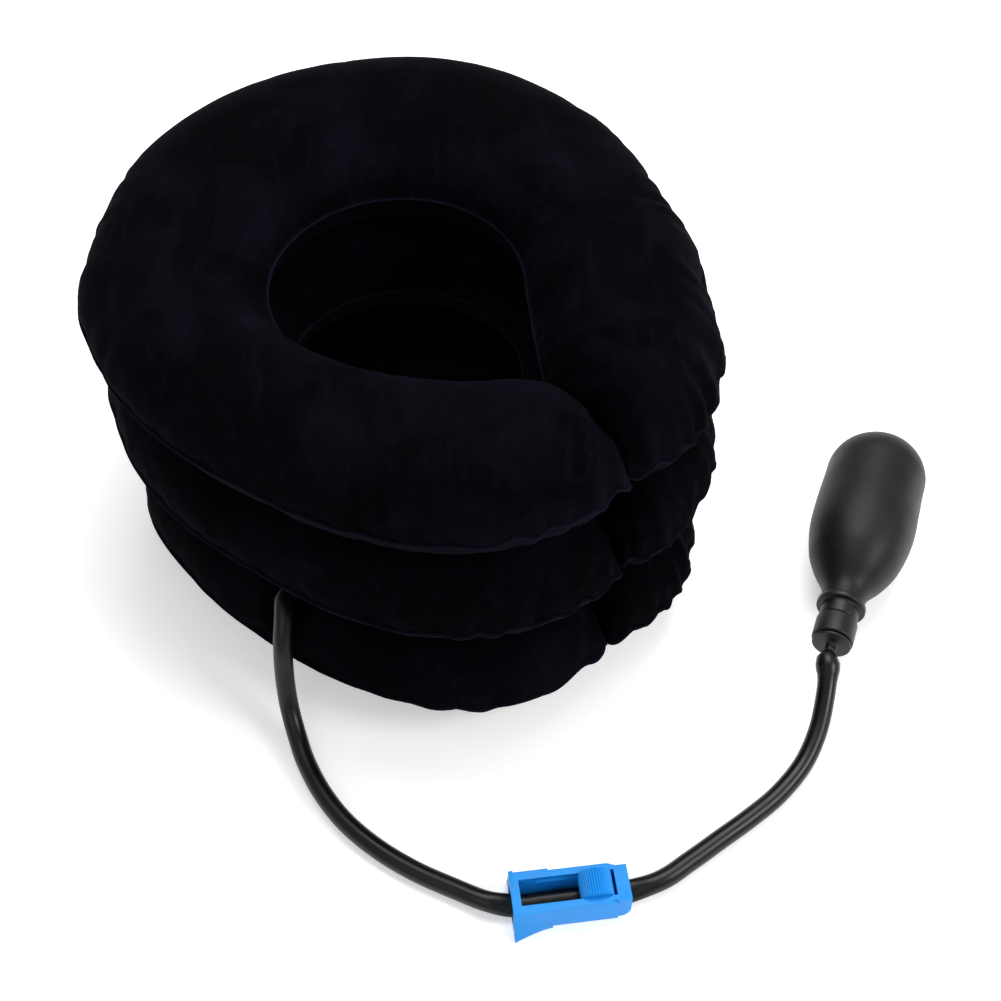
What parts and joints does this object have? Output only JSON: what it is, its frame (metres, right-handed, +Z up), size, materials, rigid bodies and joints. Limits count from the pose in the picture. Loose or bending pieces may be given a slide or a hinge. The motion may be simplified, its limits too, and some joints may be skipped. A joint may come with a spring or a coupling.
{
  "type": "cervical traction device",
  "caption": "Inflatable stacked neck collar with a flocked surface, fed through a rubber hose with a roller clamp by a hand squeeze bulb.",
  "frame": {"origin": "on the surface it stands on, under the middle of the box round the collar and the bulb, without the hose and its clamp", "axes": "+X from the collar towards the bulb, +Y away from the hose and the collar's closure, +Z up through the stacked tiers"},
  "size_m": [0.3937, 0.4043, 0.162],
  "materials": {
    "flocked_fabric": "matte",
    "port_plastic": "satin",
    "hose_rubber": "satin",
    "blue_plastic": "satin",
    "black_rubber": "satin",
    "black_plastic": "satin"
  },
  "bodies": {
    "base": {"bottom_lower_panel": "flocked_fabric", "bottom_upper_panel": "flocked_fabric", "hose": "hose_rubber", "clamp_body": "blue_plastic", "bulb": "black_rubber", "intake_valve": "black_plastic", "intake_flap": "black_rubber", "valve_body": "black_plastic", "hose_barb": "black_plastic"},
    "middle_tier": {"middle_lower_panel": "flocked_fabric", "middle_upper_panel": "flocked_fabric", "bottom_middle_air_port": "port_plastic", "hose_inlet": "port_plastic"},
    "top_tier": {"top_lower_panel": "flocked_fabric", "top_upper_panel": "flocked_fabric", "middle_top_air_port": "port_plastic"},
    "roller_slider": {"roller_axle": "blue_plastic"},
    "roller": {"roller_wheel": "blue_plastic"},
    "release": {"release_ring": "black_plastic"},
    "check_valve": {"valve_ball": "black_rubber"}
  },
  "joints": [
    {"name": "bottom_deflate", "type": "slide", "parent": "base", "child": "middle_tier", "axis": [0, 0, -1], "range_m": [0, 0.038], "deforming": ["bottom_lower_panel", "bottom_upper_panel"]},
    {"name": "middle_deflate", "type": "slide", "parent": "middle_tier", "child": "top_tier", "axis": [0, 0, -1], "range_m": [0, 0.038], "deforming": ["middle_lower_panel", "middle_upper_panel", "top_lower_panel", "top_upper_panel"]},
    {"name": "roller_travel", "type": "slide", "parent": "base", "child": "roller_slider", "axis": [-0.992, -0.1262, 0], "range_m": [0, 0.022]},
    {"name": "roller_spin", "type": "hinge", "parent": "roller_slider", "child": "roller", "pos_m": [0.02742, -0.23167, 0.01391], "axis": [-0.1262, 0.992, 0], "range_deg": [-190, 5]},
    {"name": "release_turn", "type": "hinge", "parent": "base", "child": "release", "pos_m": [0.145, -0.0996, 0.0244], "axis": [0.3502, 0.9367, 0], "range_deg": [0, 270]},
    {"name": "check_open", "type": "slide", "parent": "base", "child": "check_valve", "axis": [-0.3502, -0.9367, 0], "range_m": [0, 0.0016]}
  ],
  "couplings": [
    {"joint": "middle_deflate", "follows": "bottom_deflate", "ratio": 1},
    {"joint": "roller_spin", "follows": "roller_travel", "rad_per_m": -144.93}
  ]
}
